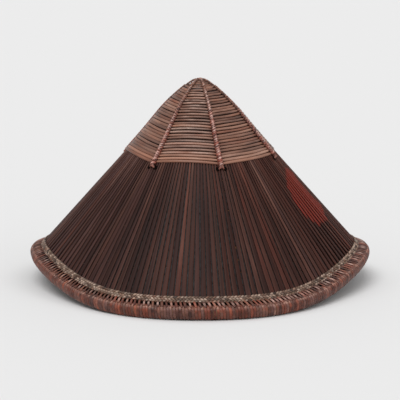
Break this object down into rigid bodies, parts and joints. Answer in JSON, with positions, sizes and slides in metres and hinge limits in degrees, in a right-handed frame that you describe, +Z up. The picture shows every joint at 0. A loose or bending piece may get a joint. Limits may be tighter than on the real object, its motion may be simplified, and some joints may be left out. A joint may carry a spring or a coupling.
{
  "type": "conical hat",
  "caption": "Conical hat of dark radial bamboo splints with a ribbed woven rattan cap, a braided band and a thick rattan-wrapped rim, gently bent so its sides rise.",
  "frame": {"origin": "on the hat's upright axis, level with the lowest point of the rim", "axes": "+Z up through the crown, -Y the front, +X the wearer-side right of that front view"},
  "size_m": [0.4236, 0.416, 0.2505],
  "materials": {
    "dark_bamboo_splint": "old split bamboo darkened almost to black-brown, satin, with paler worn edges and a brick-red stained patch",
    "cap_rattan": "flat split rattan, mid brown, smooth satin skin",
    "rattan_binding": "fine rattan lashing, reddish tan, satin",
    "rim_rattan": "close-wound fine rattan, variegated red-brown, satin",
    "braid_rattan": "plaited rattan, olive tan, dry",
    "woven_bamboo_lining": "plaited bamboo sheet, aged straw brown, dry",
    "split_bamboo": "split bamboo sticks and hoops, aged brown, low sheen"
  },
  "bodies": {
    "root": {"cap_rib_back_left": "rattan_binding", "cap_rib_back_right": "rattan_binding", "cap_rib_feet": "rattan_binding", "cap_rib_front_left": "rattan_binding", "cap_rib_front_right": "rattan_binding", "cap_rib_left": "rattan_binding", "cap_rib_right": "rattan_binding", "cap_strips_back": "cap_rattan", "cap_strips_front": "cap_rattan", "cap_strips_left_back": "cap_rattan", "cap_strips_left_front": "cap_rattan", "cap_strips_right_back": "cap_rattan", "cap_strips_right_front": "cap_rattan", "crown_boss": "split_bamboo", "crown_knot": "rattan_binding", "frame_ties": "rattan_binding", "head_ring_band": "woven_bamboo_lining", "head_ring_bottom_binding": "rattan_binding", "head_ring_struts": "split_bamboo", "head_ring_top_binding": "rattan_binding", "inner_hoop_lower": "split_bamboo", "inner_hoop_middle": "split_bamboo", "inner_hoop_upper": "split_bamboo", "inner_rib_back_left": "split_bamboo", "inner_rib_back_right": "split_bamboo", "inner_rib_front_left": "split_bamboo", "inner_rib_front_right": "split_bamboo", "inner_rib_left": "split_bamboo", "inner_rib_right": "split_bamboo", "outer_splints_back": "dark_bamboo_splint", "outer_splints_front": "dark_bamboo_splint", "outer_splints_left_back": "dark_bamboo_splint", "outer_splints_left_front": "dark_bamboo_splint", "outer_splints_right_back": "dark_bamboo_splint", "outer_splints_right_front": "dark_bamboo_splint", "rim_braid": "braid_rattan", "rim_hoop_inner": "split_bamboo", "rim_hoop_outer": "split_bamboo", "rim_inner_band": "braid_rattan", "rim_stitches": "rattan_binding", "rim_wrapping": "rim_rattan", "woven_lining_back": "woven_bamboo_lining", "woven_lining_front": "woven_bamboo_lining", "woven_lining_left_back": "woven_bamboo_lining", "woven_lining_left_front": "woven_bamboo_lining", "woven_lining_right_back": "woven_bamboo_lining", "woven_lining_right_front": "woven_bamboo_lining"}
  },
  "joints": []
}
